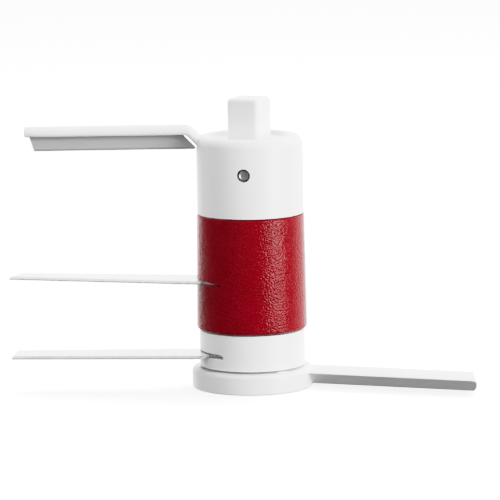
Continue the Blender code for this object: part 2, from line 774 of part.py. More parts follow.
def lever_section(along):
    """Flat-keeled hull below, slightly crowned above."""
    hull = [
        (-LEVER_HALF_W, LEVER_EDGE_Z),
        (-LEVER_HALF_W * 0.45, LEVER_LOW + 0.75 * MM),
        (-LEVER_KEEL_W * 1.6, LEVER_LOW + 0.2 * MM),
        (-LEVER_KEEL_W, LEVER_LOW),
    ]
    mirrored = [(-u, v) for u, v in reversed(hull)]
    crown = []
    crown_steps = 6
    for i in range(1, crown_steps):
        t = 1.0 - 2.0 * i / crown_steps
        crown.append((t * LEVER_HALF_W, LEVER_EDGE_Z + LEVER_CROWN * (1.0 - t * t)))
    return [lever_point(along, u, v) for u, v in hull + mirrored + crown]


def lever_plan():
    """The lever's outline from above: straight sides, and an end square to X with round corners."""
    side = LEVER_HALF_W - LEVER_TRIM
    near = lever_point(0.0, -side, 0.0)
    far = lever_point(0.0, side, 0.0)
    slope = math.tan(LEVER_TURN)
    near_end = Vector((LEVER_END_X, near[1] + (LEVER_END_X - near[0]) * slope))
    far_end = Vector((LEVER_END_X, far[1] + (LEVER_END_X - far[0]) * slope))
    near_r, far_r = LEVER_CORNER_R
    turn = math.degrees(LEVER_TURN)
    near_centre = corner_centre(near_end, near_r, turn - 90.0, 0.0)
    far_centre = corner_centre(far_end, far_r, 0.0, turn + 90.0)
    return [
        lever_point(LEVER_ROOT - MM, side, 0.0)[:2],
        lever_point(LEVER_ROOT - MM, -side, 0.0)[:2],
        *arc(near_centre, near_r, turn - 90.0, 0.0, 5),
        *arc(far_centre, far_r, 0.0, turn + 90.0, 5),
    ]


def lever_nose():
    """The lever's side view as a solid across its whole width, with the rounded end."""
    low, high = LEVER_LOW - MM, RING_TOP
    upper, lower = LEVER_EDGE_Z + LEVER_CROWN, LEVER_LOW
    middle, half = (upper + lower) / 2, (upper - lower) / 2
    side = [(0.0, high), (0.0, low), (LEVER_END_X - LEVER_NOSE, low)]
    for x, z in arc((0.0, 0.0), 1.0, -80.0, 80.0, 8):
        side.append((LEVER_END_X - LEVER_NOSE + x * LEVER_NOSE, middle + z * half))
    side.append((LEVER_END_X - LEVER_NOSE, high))
    reach = 4 * LEVER_HALF_W + LEVER_END_X
    return lofted([[(x, y, z) for x, z in side] for y in (-reach, reach)])


def corner_centre(corner, radius, start, end):
    """Centre of the arc that rounds a corner whose edges have these outward directions, in degrees."""
    a, b = math.radians(start), math.radians(end)
    middle = (a + b) / 2
    distance = radius / math.cos((b - a) / 2)
    return (corner[0] - distance * math.cos(middle), corner[1] - distance * math.sin(middle))


def base_lever(white, pivot):
    profile = [
        (RING_BORE_R, 0.0),
        (RING_R - 0.5 * MM, 0.0),
        (RING_R, 0.5 * MM),
        *arc((RING_R - RING_FILLET, RING_TOP - RING_FILLET), RING_FILLET, 0.0, 90.0, 4),
        (RING_HUB_R, RING_TOP),
        (RING_HUB_R, RING_HUB_TOP),
        (BORE_R, RING_HUB_TOP),
        (BORE_R, RING_WEB_LOW),
        (RING_BORE_R, RING_WEB_LOW),
    ]
    ring = place("base_lever", turned(profile, FINE), white, pivot)
    reach = (LEVER_END_X + 6.0 * MM) / math.cos(LEVER_TURN)
    bar = place("lever_bar", lofted([lever_section(LEVER_ROOT), lever_section(reach)]))
    combine(bar, place("lever_trim", prism(lever_plan(), -MM, RING_TOP)), "INTERSECT")
    combine(bar, place("lever_nose", lever_nose()), "INTERSECT")
    combine(ring, bar, "UNION")
    half = PAD_WIDTH / 2
    outline = [(PAD_INNER_R, -half), (PAD_OUTER_R, -half), (PAD_OUTER_R, half), (PAD_INNER_R, half)]
    for number, degrees in enumerate(PAD_TURNS, 1):
        bm = prism(outline, RING_TOP - MM, RING_TOP + PAD_RISE)
        turn = Matrix.Rotation(math.radians(degrees), 3, "Z")
        bmesh.ops.rotate(bm, verts=bm.verts, matrix=turn)
        combine(ring, place(f"bearing_pad_{number}", bm), "UNION")


def build():
    clear_scene()
    white = material("white_plastic", (0.84, 0.84, 0.85), 0.35)
    red = material("red_plastic", (0.30, 0.0, 0.008), 0.4)
    inner = material("natural_plastic", (0.72, 0.72, 0.70), 0.5)
    steel = material("steel", (0.62, 0.62, 0.63), 0.28, 1.0)
    wire = material("spring_steel", (0.45, 0.45, 0.47), 0.35, 1.0)
    nylon = material("nylon", (0.55, 0.55, 0.52), 0.45)

    sleeve_pivot = empty("sleeve_pivot", MIDDLE_BLADE_Z)
    collar_pivot = empty("collar_pivot", LOWER_BLADE_Z)
    lever_pivot = empty("lever_pivot", 0.0)

    cross_hole = place("cross_hole", cross_rod(PIN_HOLE_R, BODY_R + MM, segments=24))
    drive_spindle(white, cross_hole)
    upper_cap(white, cross_hole)
    cap_cross_pin(steel)
    top_arm(white)
    arm_lock_pin(steel)
    top_blade(steel)
    top_blade_pins(steel)
    seat = (SPRING_SEAT_TOP - SPRING_SEAT_T, SPRING_SEAT_TOP)
    washer("spring_seat_washer", SPRING_SEAT_R, seat, steel)
    coil_spring(wire)
    washer("spring_plate", SPRING_SEAT_R, SPRING_PLATE, steel)
    foot_flange(white)
    retaining_screw(steel)
    base_plug(white)

    red_sleeve(red, sleeve_pivot)
    sleeve_hubs(inner, sleeve_pivot)
    middle_blade(steel, sleeve_pivot)
    middle_screws(steel, sleeve_pivot)
    washer("thrust_washer_upper", WASHER_R, TOP_WASHER, nylon, sleeve_pivot)

    lower_collar(white, collar_pivot)
    lower_blade(steel, collar_pivot)
    lower_screws(steel, collar_pivot)
    washer("thrust_washer_middle", WASHER_R, MIDDLE_WASHER, nylon, collar_pivot)

    base_lever(white, lever_pivot)
    washer("thrust_washer_lower", WASHER_R, LOWER_WASHER, nylon, lever_pivot)


build()
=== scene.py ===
"""The looks of the swivel-arm cutting spindle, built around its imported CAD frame.

Metres, +Z up, in the CAD model's frame: the spindle's axis is Z, and the foot stands on Z = 0.
The blades point to -X, the lever to +X, and the cross pin shows on the -Y side.
"""

import math

import bmesh
import bpy
from mathutils import Matrix, Quaternion, Vector


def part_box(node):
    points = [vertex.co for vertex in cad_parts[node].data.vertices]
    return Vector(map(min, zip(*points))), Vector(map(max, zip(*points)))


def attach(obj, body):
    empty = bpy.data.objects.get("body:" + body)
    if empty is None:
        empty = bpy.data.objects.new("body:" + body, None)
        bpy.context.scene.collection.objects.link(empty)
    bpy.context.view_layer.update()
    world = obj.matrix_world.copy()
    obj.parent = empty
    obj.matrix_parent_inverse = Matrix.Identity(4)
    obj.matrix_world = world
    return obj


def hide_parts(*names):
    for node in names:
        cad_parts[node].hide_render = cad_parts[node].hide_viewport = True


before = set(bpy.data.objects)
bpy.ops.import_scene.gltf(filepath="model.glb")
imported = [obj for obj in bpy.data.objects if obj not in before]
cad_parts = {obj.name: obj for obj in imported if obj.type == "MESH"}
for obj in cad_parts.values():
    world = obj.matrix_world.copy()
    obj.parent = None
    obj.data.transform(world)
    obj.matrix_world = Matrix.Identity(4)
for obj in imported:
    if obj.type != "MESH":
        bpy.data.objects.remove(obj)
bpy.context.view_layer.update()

MM = 0.001
GAP = 0.3 * MM  # the CAD's clearance between neighbouring pieces
SEAM = 0.08 * MM  # the clearance that shows between pieces pressed together

# Facets of round pieces, and how finely a rounded corner is cut.
ROUND = 192
SMALL_ROUND = 64
CORNER_STEP = math.radians(9.0)

# Radii of broken edges.
FINE_EDGE = 0.1 * MM
EDGE = 0.2 * MM
SOFT_EDGE = 0.3 * MM

# Heights and radii read from the frame.
cap_low, cap_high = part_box("upper_cap")
sleeve_low, sleeve_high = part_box("red_sleeve")
collar_low, collar_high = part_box("lower_collar")
lever_low, lever_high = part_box("base_lever")
spindle_low, spindle_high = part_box("drive_spindle")
foot_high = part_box("foot_flange")[1]
plug_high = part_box("base_plug")[1]
middle_low, middle_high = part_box("middle_blade")
lower_low, lower_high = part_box("lower_blade")
upright_low, upright_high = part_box("top_blade")

BODY_R = cap_high.x
COLLAR_R = collar_high.x
RING_R = -lever_low.x
CAP_LOW, CAP_TOP = cap_low.z, cap_high.z
SLEEVE_LOW, SLEEVE_TOP = sleeve_low.z, sleeve_high.z
SLEEVE_LOW_R = sleeve_high.x
COLLAR_LOW = collar_low.z
HEAD_TOP = spindle_high.z
SHAFT_LOW = spindle_low.z
BLADE_T = lower_high.z - lower_low.z

# Cap and drive head.
CAP_FILLET = 2.7 * MM
DISH_R = 12.0 * MM
DISH_DEPTH = 1.3 * MM
DISH_WALL = 0.6 * MM
CAP_BORE_R = 11.0 * MM
CAP_WIDE_BORE_R = 13.6 * MM
CAP_STEP_Z = 62.0 * MM
FLANGE = (69.1 * MM, 70.2 * MM)
FLANGE_R = 8.5 * MM
CAVITY_TOP = FLANGE[1] + GAP
SHAFT_R = 5.0 * MM
BORE_R = SHAFT_R + GAP
HEAD_SIDE = 10.45 * MM
HEAD_EDGE_R = 1.4 * MM
HEAD_TOP_R = 1.2 * MM
HEAD_TURN = math.radians(-24.0)
HEAD_HOLE_R = 0.9 * MM
HEAD_HOLE_DEPTH = 2.5 * MM

# Cross pin.
PIN_Z = 66.75 * MM
PIN_R = 1.45 * MM
PIN_HOLE_R = 2.0 * MM
PIN_TURN = math.radians(-7.0)
PIN_RECESS = 0.5 * MM

# Top arm and upright blade.
ARM_WIDTH = 6.8 * MM
ARM_HEIGHT = 2.9 * MM
ARM_LIP = 0.95 * MM  # height of the widest part
ARM_FOOT_R = 0.9 * MM
ARM_LOW = 77.7 * MM
ARM_TIP_X = -67.6 * MM
ARM_NOSE = 0.65 * MM
ARM_BEND_X = -19.8 * MM
ARM_BEND = math.radians(46.0)
ARM_BEND_LENGTH = 1.4 * MM
ARM_NECK = 8.6 * MM
GROOVE_TOP = 79.8 * MM
ARM_LOCK_ALONG = 6.9 * MM
ARM_LOCK_R = 0.8 * MM
ARM_LOCK_REACH = 2.3 * MM
UPRIGHT_LEFT = (-66.9 * MM, -65.4 * MM)  # at the spine, and at the cutting edge
UPRIGHT_BEVEL = (0.6 * MM, 0.35 * MM)  # height and depth of the ground edge
BLADE_PIN_X = (-58.0 * MM, -31.0 * MM)
BLADE_PIN_Z = 78.6 * MM
BLADE_PIN_R = 0.5 * MM
BLADE_PIN_ENDS = (-1.9 * MM, 2.7 * MM)

# Flat blades. Each outline runs tip, near edge, relief, tang, root, far edge, seen from above.
BLADE_LAND = 0.3 * MM
BLADE_BEVEL_W = 1.5 * MM
MIDDLE_OUTLINE = (
    (-74.4 * MM, 5.6 * MM),
    (-15.9 * MM, -9.5 * MM),
    (-14.6 * MM, -7.9 * MM),
    (-9.6 * MM, -11.0 * MM),
    (-4.2 * MM, -10.2 * MM),
    (-5.5 * MM, 3.5 * MM),
    (-70.5 * MM, 13.7 * MM),
)
LOWER_OUTLINE = (
    (-73.2 * MM, -9.1 * MM),
    (-15.8 * MM, -13.25 * MM),
    (-14.7 * MM, -11.5 * MM),
    (-13.4 * MM, -9.4 * MM),
    (-7.3 * MM, -11.0 * MM),
    (-7.3 * MM, 0.5 * MM),
    (-71.7 * MM, 2.45 * MM),
)
MIDDLE_SLOT = (
    (-20.0 * MM, -10.0 * MM),
    (-9.4 * MM, -13.9 * MM),
    (-5.0 * MM, -8.0 * MM),
    (-5.0 * MM, 3.8 * MM),
    (-20.0 * MM, 6.2 * MM),
)
LOWER_SLOT = (
    (-20.0 * MM, -13.3 * MM),
    (-9.4 * MM, -13.5 * MM),
    (-7.0 * MM, -12.4 * MM),
    (-7.0 * MM, 0.8 * MM),
    (-20.0 * MM, 1.25 * MM),
)
MIDDLE_CLEAR = 0.07 * MM  # between blade and slot, above and below
LOWER_CLEAR = 0.3 * MM
MIDDLE_ROOF_W = 2.4 * MM  # width of the slot's sloping roof
LOWER_ROOF_W = 0.9 * MM
SLEEVE_TOP_R = 16.35 * MM
SLEEVE_BORE_R = 13.6 * MM
SCREW_HOLE_R = 1.3 * MM
MIDDLE_SCREWS = ((-10.3 * MM, -2.4 * MM), (-6.9 * MM, -8.1 * MM))
LOWER_SCREWS = ((-10.4 * MM, -3.3 * MM), (-9.1 * MM, -8.2 * MM))
EYE_R = 9.2 * MM
EYE_HOLE_R = 5.6 * MM

# Collar.
COLLAR_COUNTERBORE_R = 8.3 * MM
COLLAR_COUNTERBORE_TOP = 9.3 * MM
COLLAR_TOP = 17.7 * MM
COLLAR_HUB_R = 8.0 * MM
COLLAR_HUB_TOP = 16.9 * MM
COLLAR_RIM_R = 13.8 * MM
COLLAR_FLOOR = 14.3 * MM
LOWER_SCREW_TOP = 13.3 * MM
SCREW_HEAD_R = 2.2 * MM
SCREW_HEAD_TOP = COLLAR_LOW + 1.8 * MM

# Base ring and lever.
PAD_RISE = 0.25 * MM
RING_TOP = COLLAR_LOW - GAP - PAD_RISE
RING_BORE_R = 11.5 * MM
RING_WEB_LOW = 5.1 * MM
RING_HUB_R = 8.0 * MM
RING_HUB_TOP = 8.2 * MM
RING_FILLET = 1.2 * MM
PAD_TURNS = (-56.0, 64.0, 184.0)  # degrees
PAD_WIDTH = 3.2 * MM
PAD_REACH = (13.6 * MM, 16.5 * MM)
PAD_CORNER_R = 0.4 * MM
RING_VOXEL = 0.16 * MM
LEVER_TURN = math.radians(-19.0)
LEVER_OFFSET = 5.0 * MM
LEVER_HALF_W = 7.2 * MM
LEVER_ROOT = 12.6 * MM
LEVER_END_X = lever_high.x
LEVER_LOW = 0.7 * MM
LEVER_EDGE_Z = 4.9 * MM
LEVER_CROWN = 0.7 * MM
LEVER_KEEL_W = 1.6 * MM
LEVER_CORNER_R = (1.3 * MM, 2.6 * MM)  # near, far
LEVER_TRIM = 0.06 * MM
LEVER_NOSE = 1.3 * MM

# Foot.
FOOT_R = foot_high.x
FOOT_TOP = foot_high.z
FOOT_RECESS_R = 6.0 * MM
FOOT_RECESS_TOP = 3.3 * MM
FOOT_SCREW_HOLE_R = 1.8 * MM
FOOT_SCREW_HOLE_TOP = 15.3 * MM
PLUG_R = plug_high.x
PLUG_TOP = plug_high.z

# Camera and studio.
CAMERA_ELEVATION = math.radians(8.8)
CAMERA_ROLL = math.radians(-0.87)
CAMERA_DISTANCE = 1.2
VIEW_WIDTH = 152.5 * MM
AIM = Vector((-0.3 * MM, 0.0, 41.8 * MM))
LIGHT_DISTANCE = 0.9
WORLD_FRONT = 0.08  # strengths of the soft light from in front, behind and below
WORLD_BACK = 2.1
WORLD_BELOW = 0.05
MIRROR_BACK = 2.4  # strength of the backdrop in mirror-like reflections, and its share high up
MIRROR_HIGH = 0.42
BACKDROP = 6.0  # strength of the backdrop where the camera sees it
FLOOR_REACH = 3.0
FLOOR_Z = -0.02 * MM
FLOOR_GLOW = 1.2
CURVE_WHITE = 2.4  # the light level that shows as full white
CURVE_POINTS = ((0.25, 0.25), (0.5, 0.52), (0.9, 0.745), (1.3, 0.85), (1.84, 0.92))  # level, shown


# ---- mesh tools ----


def rounded(corners, closed=True):
    """Turns (x, y, radius) corners into outline points, each corner an arc of its radius."""
    points = []
    for i, (x, y, radius) in enumerate(corners):
        corner = Vector((x, y))
        if radius == 0.0:
            points.append((x, y))
            continue
        before = (Vector(corners[i - 1][:2]) - corner).normalized()
        after = (Vector(corners[(i + 1) % len(corners)][:2]) - corner).normalized()
        half = before.angle(after) / 2
        reach = radius / math.tan(half)
        centre = corner + (before + after).normalized() * (radius / math.sin(half))
        start = corner + before * reach - centre
        end = corner + after * reach - centre
        sweep = math.pi - 2 * half
        steps = max(2, math.ceil(sweep / CORNER_STEP))
        for k in range(steps + 1):
            t = k / steps
            arm = start * math.sin((1 - t) * sweep) + end * math.sin(t * sweep)
            points.append(tuple(centre + arm / math.sin(sweep)))
    return points


def skin(rows, closed=False):
    """A closed surface over rows of points. A row of one point is a pole."""
    bm = bmesh.new()
    made = [[bm.verts.new(point) for point in row] for row in rows]
    following = made[1:] + made[:1] if closed else made[1:]
    for a, b in zip(made, following):
        count = max(len(a), len(b))
        for i in range(count):
            j = (i + 1) % count
            corners = [a[i % len(a)], a[j % len(a)], b[j % len(b)], b[i % len(b)]]
            bm.faces.new(list(dict.fromkeys(corners)))
    if not closed:
        for row in (made[0], made[-1]):
            if len(row) > 1:
                bm.faces.new(row)
    bmesh.ops.recalc_face_normals(bm, faces=bm.faces)
    return bm


def turned(profile, segments=ROUND):
    """A profile of (radius, height) points spun about Z."""
    turns = [math.tau * i / segments for i in range(segments)]
    rows = []
    for radius, height in profile:
        if radius == 0.0:
            rows.append([(0.0, 0.0, height)])
        else:
            rows.append([(radius * math.cos(a), radius * math.sin(a), height) for a in turns])
    return skin(rows, closed=profile[0][0] > 0.0)


def prism(outline, low, high):
    return skin([[(x, y, z) for x, y in outline] for z in (low, high)])


def rod(start, end, profile, segments=SMALL_ROUND):
    """A turned bar between two points. The profile gives (radius, distance from its nearer end)."""
    start, end = Vector(start), Vector(end)
    length = (end - start).length
    near = list(profile)
    far = [(radius, length - distance) for radius, distance in reversed(profile)]
    bm = turned([(0.0, near[0][1]), *near, *far, (0.0, far[-1][1])], segments)
    turn = (end - start).to_track_quat("Z", "Y").to_matrix().to_4x4()
    bmesh.ops.transform(bm, matrix=Matrix.Translation(start) @ turn, verts=bm.verts)
    return bm


def plain_rod(start, end, radius, segments=SMALL_ROUND):
    return rod(start, end, [(radius, 0.0)], segments)


def shifted(outline, distances):
    """Moves each edge of an outline, all of them facing away from its middle, outwards by its own distance.

    Edge i runs from corner i to the next one. A negative distance moves it inwards.
    """
    corners = [Vector(p) for p in outline]
    centre = sum(corners, Vector((0.0, 0.0))) / len(corners)
    lines = []
    for i, distance in enumerate(distances):
        a, b = corners[i], corners[(i + 1) % len(corners)]
        normal = Vector((b.y - a.y, a.x - b.x)).normalized()
        if normal.dot(a - centre) < 0.0:
            normal = -normal
        lines.append((normal, normal.dot(a) + distance))
    moved = []
    for i, (n, d) in enumerate(lines):
        m, e = lines[i - 1]
        det = m.x * n.y - m.y * n.x
        moved.append(((e * n.y - d * m.y) / det, (d * m.x - e * n.x) / det))
    return moved


def thing(name, bm):
    mesh = bpy.data.meshes.new(name)
    bm.to_mesh(mesh)
    bm.free()
    obj = bpy.data.objects.new(name, mesh)
    bpy.context.collection.objects.link(obj)
    return obj


def settle(obj):
    """Applies the object's modifiers to its mesh."""
    graph = bpy.context.evaluated_depsgraph_get()
    mesh = bpy.data.meshes.new_from_object(obj.evaluated_get(graph))
    obj.modifiers.clear()
    obj.data = mesh


def carve(obj, bm, operation="DIFFERENCE"):
    tool = thing("tool", bm)
    modifier = obj.modifiers.new("carve", "BOOLEAN")
    modifier.operation = operation
    modifier.solver = "EXACT"
    modifier.object = tool
    settle(obj)
    bpy.data.objects.remove(tool, do_unlink=True)


def soften(obj, voxel, rounds):
    """Rebuilds the mesh in small even faces and relaxes it, which rounds every edge a little."""
    remesh = obj.modifiers.new("remesh", "REMESH")
    remesh.mode = "VOXEL"
    remesh.voxel_size = voxel
    smooth = obj.modifiers.new("smooth", "SMOOTH")
    smooth.factor = 0.5
    smooth.iterations = rounds
    settle(obj)


def finished(obj, mat, body, slot, *nodes, sharp=32.0):
    """Shades the piece, gives it its material, and puts it on its CAD body."""
    obj.data.shade_smooth()
    obj.data.set_sharp_from_angle(angle=math.radians(sharp))
    obj.data.materials.clear()
    obj.data.materials.append(mat)
    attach(obj, body)
    if nodes:
        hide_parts(*nodes)
    return obj


# ---- materials ----


class Nodes:
    """A short way to write a material's node tree."""

    def __init__(self, name):
        self.material = bpy.data.materials.new(name)
        self.material.use_nodes = True
        self.tree = self.material.node_tree
        self.shader = self.tree.nodes["Principled BSDF"]

    def add(self, kind, links=None, **settings):
        """Adds a node. Links and settings are keyed by input name, or by attribute name."""
        node = self.tree.nodes.new(kind)
        for key, value in settings.items():
            setattr(node, key, value)
        for key, value in (links or {}).items():
            self.feed(node, key, value)
        return node

    def feed(self, node, key, value):
        socket = node.inputs[key]
        if isinstance(value, bpy.types.NodeSocket):
            self.tree.links.new(value, socket)
        else:
            socket.default_value = value

    def shade(self, **values):
        for key, value in values.items():
            self.feed(self.shader, key.replace("_", " "), value)

    def place(self, scale=(1.0, 1.0, 1.0), turn=(0.0, 0.0, 0.0)):
        """Position on the piece, stretched for streaky patterns."""
        where = self.add("ShaderNodeTexCoord").outputs["Object"]
        mapping = self.add("ShaderNodeMapping", {"Vector": where, "Scale": scale, "Rotation": turn})
        return mapping.outputs["Vector"]

    def noise(self, vector, scale, detail=2.0, roughness=0.5):
        links = {"Vector": vector, "Scale": scale, "Detail": detail, "Roughness": roughness}
        return self.add("ShaderNodeTexNoise", links).outputs["Fac"]

    def spread(self, value, low, high, start=0.3, end=0.7):
        """Maps a pattern's values onto a range."""
        links = {"Value": value, "From Min": start, "From Max": end, "To Min": low, "To Max": high}
        return self.add("ShaderNodeMapRange", links).outputs["Result"]

    def blend(self, factor, a, b):
        node = self.add("ShaderNodeMix", data_type="RGBA")
        self.feed(node, "Factor", factor)
        node.inputs[6].default_value = (*a, 1.0)
        node.inputs[7].default_value = (*b, 1.0)
        return node.outputs[2]

    def bump(self, height, distance, strength=1.0, normal=None):
        links = {"Height": height, "Distance": distance, "Strength": strength}
        if normal:
            links["Normal"] = normal
        return self.add("ShaderNodeBump", links).outputs["Normal"]


def white_plastic():
    """Satin white moulded plastic, with faint flow marks and a very fine surface."""
    n = Nodes("white_plastic_look")
    place = n.place()
    flow = n.noise(place, 90.0, 3.0)
    fine = n.noise(place, 2600.0, 2.0)
    n.shade(
        Base_Color=n.blend(n.spread(flow, 0.0, 1.0), (0.83, 0.83, 0.845), (0.86, 0.86, 0.865)),
        Roughness=n.spread(n.noise(place, 420.0, 4.0), 0.30, 0.40),
        Normal=n.bump(fine, 0.006 * MM),
        IOR=1.43,
    )
    return n.material


def red_plastic():
    """Deep red plastic with a fine leather grain."""
    n = Nodes("red_plastic_look")
    place = n.place()
    wander = n.noise(place, 700.0, 2.0)
    stretched = n.place(scale=(1.0, 1.0, 1.25))
    cells = n.add("ShaderNodeTexVoronoi", {"Vector": stretched, "Scale": 1850.0}, feature="SMOOTH_F1")
    pebbles = n.spread(cells.outputs["Distance"], 1.0, 0.0, 0.0, 0.75)
    grain = n.bump(pebbles, 0.13 * MM)
    ripple = n.bump(wander, 0.02 * MM, normal=grain)
    tone = n.noise(place, 160.0, 4.0)
    n.shade(
        Base_Color=n.blend(n.spread(tone, 0.0, 1.0), (0.216, 0.0003, 0.005), (0.246, 0.0003, 0.007)),
        Roughness=n.spread(wander, 0.15, 0.22),
        Normal=ripple,
        IOR=1.29,
    )
    return n.material


def natural_plastic():
    """Unpigmented moulded plastic of the hidden hubs."""
    n = Nodes("natural_plastic_look")
    place = n.place()
    tone = n.spread(n.noise(place, 150.0, 3.0), 0.0, 1.0)
    n.shade(
        Base_Color=n.blend(tone, (0.66, 0.65, 0.60), (0.72, 0.71, 0.66)),
        Roughness=n.spread(n.noise(place, 600.0), 0.45, 0.6),
        Normal=n.bump(n.noise(place, 1500.0), 0.01 * MM),
    )
    return n.material


def brushed_steel(name, colour, turn, roughness, metallic):
    """Steel ground along one direction, which turn lays along the piece."""
    n = Nodes(name)
    lines = n.place(scale=(18.0, 2600.0, 2600.0), turn=(0.0, 0.0, turn))
    streaks = n.noise(lines, 1.0, 3.0, 0.6)
    wide = n.noise(n.place(scale=(10.0, 260.0, 260.0), turn=(0.0, 0.0, turn)), 1.0, 2.0)
    dark = tuple(0.93 * c for c in colour)
    low, high = roughness
    n.shade(
        Base_Color=n.blend(n.spread(wide, 0.0, 1.0), dark, colour),
        Metallic=metallic,
        Roughness=n.spread(streaks, low, high),
        Normal=n.bump(streaks, 0.0015 * MM),
    )
    return n.material


def turned_steel():
    """Bright steel with fine turning marks, for pins, screws and washers."""
    n = Nodes("turned_steel_look")
    place = n.place()
    rings = n.noise(n.place(scale=(900.0, 900.0, 900.0)), 1.0, 4.0)
    n.shade(
        Base_Color=n.blend(n.spread(n.noise(place, 300.0), 0.0, 1.0), (0.36, 0.36, 0.37), (0.46, 0.46, 0.47)),
        Metallic=0.6,
        Roughness=n.spread(rings, 0.26, 0.42),
        Normal=n.bump(rings, 0.004 * MM),
    )
    return n.material


def spring_wire():
    n = Nodes("spring_wire_look")
    place = n.place()
    n.shade(
        Base_Color=n.blend(n.spread(n.noise(place, 500.0), 0.0, 1.0), (0.36, 0.35, 0.35), (0.46, 0.45, 0.44)),
        Metallic=1.0,
        Roughness=n.spread(n.noise(place, 900.0), 0.3, 0.42),
    )
    return n.material


def nylon():
    n = Nodes("nylon_look")
    place = n.place()
    n.shade(
        Base_Color=n.blend(n.spread(n.noise(place, 200.0), 0.0, 1.0), (0.60, 0.59, 0.54), (0.66, 0.65, 0.60)),
        Roughness=n.spread(n.noise(place, 700.0), 0.4, 0.55),
        Normal=n.bump(n.noise(place, 1200.0), 0.008 * MM),
    )
    return n.material


# ---- spindle, cap and cross pin ----


def square_ring(half, corner_r, height):
    """One level of the square head, turned to its angle."""
    corners = [(-half, -half), (half, -half), (half, half), (-half, half)]
    points = rounded([(x, y, corner_r) for x, y in corners])
    c, s = math.cos(HEAD_TURN), math.sin(HEAD_TURN)
    return [(x * c - y * s, x * s + y * c, height) for x, y in points]


def round_ring(like, radius, height):
    """A round level whose points face those of a square one."""
    return [(*(Vector(p[:2]).normalized() * radius), height) for p in like]


def square_rod(half, edge_r, low, high):
    return skin([square_ring(half, edge_r, low), square_ring(half, edge_r, high)])


def cross_rod(radius, reach):
    way = Vector((math.sin(PIN_TURN), -math.cos(PIN_TURN), 0.0))
    middle = Vector((0.0, 0.0, PIN_Z))
    return middle - way * reach, middle + way * reach, radius


def spindle_body(white):
    half = HEAD_SIDE / 2
    base = square_ring(half, HEAD_EDGE_R, FLANGE[1])
    rows = [[(0.0, 0.0, SHAFT_LOW)]]
    rows += [
        round_ring(base, radius, height)
        for radius, height in (
            (SHAFT_R, SHAFT_LOW),
            (SHAFT_R, FLANGE[0]),
            (FLANGE_R, FLANGE[0]),
            (FLANGE_R, FLANGE[1]),
        )
    ]
    rows += [base, square_ring(half, HEAD_EDGE_R, HEAD_TOP - HEAD_TOP_R)]
    steps = 10
    for i in range(1, steps + 1):
        angle = math.pi / 2 * i / steps
        inset = HEAD_TOP_R * (1 - math.cos(angle))
        height = HEAD_TOP - HEAD_TOP_R * (1 - math.sin(angle))
        rows.append(square_ring(half - inset, HEAD_EDGE_R - inset, height))
    rim = 0.15 * MM
    rows += [
        round_ring(base, HEAD_HOLE_R + rim, HEAD_TOP),
        round_ring(base, HEAD_HOLE_R, HEAD_TOP - rim),
        round_ring(base, HEAD_HOLE_R, HEAD_TOP - HEAD_HOLE_DEPTH),
        [(0.0, 0.0, HEAD_TOP - HEAD_HOLE_DEPTH)],
    ]
    obj = thing("spindle_body", skin(rows))
    carve(obj, plain_rod(*cross_rod(PIN_R + SEAM, BODY_R)))
    carve(obj, plain_rod((0, 0, SHAFT_LOW - MM), (0, 0, FOOT_SCREW_HOLE_TOP), FOOT_SCREW_HOLE_R))
    return finished(obj, white, "spindle", "white_plastic", "drive_spindle")


def cap_shell(white):
    profile = rounded(
        [
            (0.0, CAP_TOP - DISH_DEPTH, 0.0),
            (DISH_R - DISH_WALL, CAP_TOP - DISH_DEPTH, SOFT_EDGE),
            (DISH_R, CAP_TOP, 0.22 * MM),
            (BODY_R, CAP_TOP, CAP_FILLET),
            (BODY_R, CAP_LOW, 0.25 * MM),
            (CAP_WIDE_BORE_R, CAP_LOW, EDGE),
            (CAP_WIDE_BORE_R, CAP_STEP_Z, 0.0),
            (CAP_BORE_R, CAP_STEP_Z, 0.0),
            (CAP_BORE_R, CAVITY_TOP, 0.0),
            (0.0, CAVITY_TOP, 0.0),
        ]
    )
    obj = thing("cap_shell", turned(profile))
    half = HEAD_SIDE / 2 + SEAM
    carve(obj, square_rod(half, HEAD_EDGE_R + SEAM, CAVITY_TOP - MM, CAP_TOP + MM))
    carve(obj, plain_rod(*cross_rod(PIN_HOLE_R, BODY_R + MM)))
    carve(obj, arm_loft(SEAM, ARM_NECK + SEAM))
    point = arm_lock_point()
    front = point + Vector((0.0, -ARM_LOCK_REACH - SEAM, 0.0))
    back = point + Vector((0.0, BODY_R, 0.0))
    carve(obj, plain_rod(front, back, ARM_LOCK_R + SEAM))
    return finished(obj, white, "spindle", "white_plastic", "upper_cap")


def cross_pin(steel):
    """A ground dowel with cupped ends."""
    start, end, radius = cross_rod(PIN_R, BODY_R - PIN_RECESS)
    profile = [
        (0.5 * radius, 0.36 * MM),
        (0.7 * radius, 0.28 * MM),
        (radius - 0.16 * MM, 0.02 * MM),
        (radius - 0.08 * MM, 0.02 * MM),
        (radius, 0.14 * MM),
    ]
    obj = thing("cross_pin", rod(start, end, profile))
    return finished(obj, steel, "spindle", "fastener_steel", "cap_cross_pin")


# ---- top arm and its blade ----


def arm_path(reach):
    """Stations along the arm's underside: (x, z, tilt), from the tip to the end of the neck."""
    straight = 8
    stations = []
    for i in range(straight + 1):
        stations.append((ARM_TIP_X + (ARM_BEND_X - ARM_TIP_X) * i / straight, ARM_LOW, 0.0))
    bend = 12
    step = ARM_BEND_LENGTH / bend
    for i in range(1, bend + 1):
        x, z, _ = stations[-1]
        tilt = ARM_BEND * i / bend
        stations.append((x + step * math.cos(tilt), z - step * math.sin(tilt), tilt))
    x, z, tilt = stations[-1]
    stations.append((x + reach * math.cos(tilt), z - reach * math.sin(tilt), tilt))
    return stations


